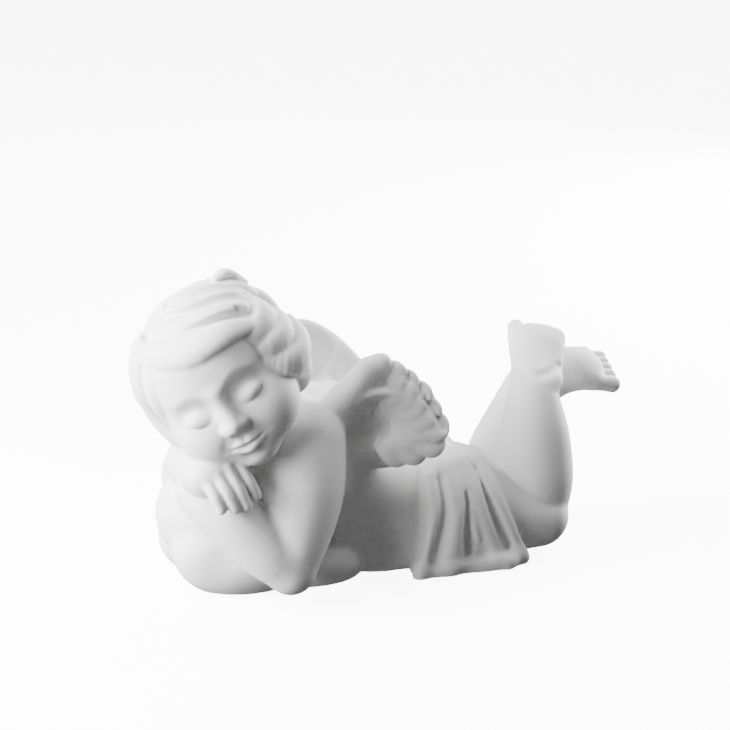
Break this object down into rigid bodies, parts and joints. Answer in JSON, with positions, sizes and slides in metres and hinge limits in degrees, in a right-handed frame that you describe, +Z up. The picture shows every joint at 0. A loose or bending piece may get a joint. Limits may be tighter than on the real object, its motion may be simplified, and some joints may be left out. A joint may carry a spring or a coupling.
{
  "type": "sleeping angel statue",
  "caption": "Small matte porcelain figure of a winged child asleep on a low cloud, head on crossed forearms, cloth over the hips, lower legs raised and crossed.",
  "frame": {"origin": "on the flat underside, below the figure's waist", "axes": "+X from the head to the feet, +Z up, the figure's left side towards -Y"},
  "size_m": [0.1458, 0.059, 0.0835],
  "materials": {
    "bisque_porcelain": "matte, unglazed"
  },
  "bodies": {
    "root": {"angel_statue": "bisque_porcelain"}
  },
  "joints": []
}
